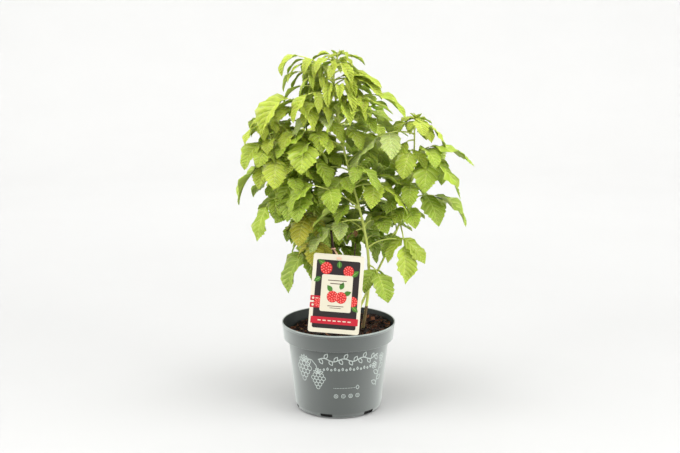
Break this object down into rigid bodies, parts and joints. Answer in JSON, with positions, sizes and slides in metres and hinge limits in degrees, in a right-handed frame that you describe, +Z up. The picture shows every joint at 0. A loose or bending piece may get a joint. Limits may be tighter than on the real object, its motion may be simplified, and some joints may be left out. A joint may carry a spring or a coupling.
{
  "type": "raspberry cane in a pot",
  "caption": "Young raspberry plant with slender leaning canes and serrated compound leaves, in a round plastic nursery pot of soil with a plain picture label.",
  "frame": {"origin": "centre of the pot's flat underside", "axes": "+Z up, -Y the front of the plant, where the label leans, +X its right-hand side"},
  "size_m": [0.3915, 0.2932, 0.5949],
  "materials": {
    "pot": "satin grey, with a pale printed line pattern",
    "soil": "coarse moist peat and bark",
    "label": "printed card, satin",
    "strap": "satin",
    "cane": "green, finely ribbed and bristly",
    "wood": "dead, rough bark",
    "foliage": "soft green leaf, paler below"
  },
  "bodies": {
    "root": {"pot": "pot", "soil": "soil", "label": "label", "label_strap": "strap", "stub_tall": "wood", "stub_thin": "wood", "cane_main": "cane", "cane_right": "cane", "cane_mid": "cane", "cane_left": "cane", "cane_back": "cane", "cane_rear": "cane", "tip_main": "foliage", "leaf_main_1": "foliage", "leaf_main_2": "foliage", "leaf_main_3": "foliage", "leaf_main_4": "foliage", "leaf_main_5": "foliage", "leaf_main_6": "foliage", "leaf_main_7": "foliage", "leaf_main_8": "foliage", "leaf_main_9": "foliage", "leaf_main_10": "foliage", "leaf_main_11": "foliage", "leaf_main_12": "foliage", "leaf_main_13": "foliage", "tip_right": "foliage", "leaf_right_1": "foliage", "leaf_right_2": "foliage", "leaf_right_3": "foliage", "leaf_right_4": "foliage", "leaf_right_5": "foliage", "leaf_right_6": "foliage", "leaf_right_7": "foliage", "tip_mid": "foliage", "leaf_mid_1": "foliage", "leaf_mid_2": "foliage", "leaf_mid_3": "foliage", "leaf_mid_4": "foliage", "leaf_mid_5": "foliage", "leaf_mid_6": "foliage", "leaf_mid_7": "foliage", "tip_left": "foliage", "leaf_left_1": "foliage", "leaf_left_2": "foliage", "leaf_left_3": "foliage", "leaf_left_4": "foliage", "leaf_left_5": "foliage", "tip_back": "foliage", "leaf_back_1": "foliage", "leaf_back_2": "foliage", "leaf_back_3": "foliage", "leaf_back_4": "foliage", "leaf_back_5": "foliage", "tip_rear": "foliage", "leaf_rear_1": "foliage", "leaf_rear_2": "foliage", "leaf_rear_3": "foliage", "leaf_rear_4": "foliage", "leaf_rear_5": "foliage"}
  },
  "joints": []
}
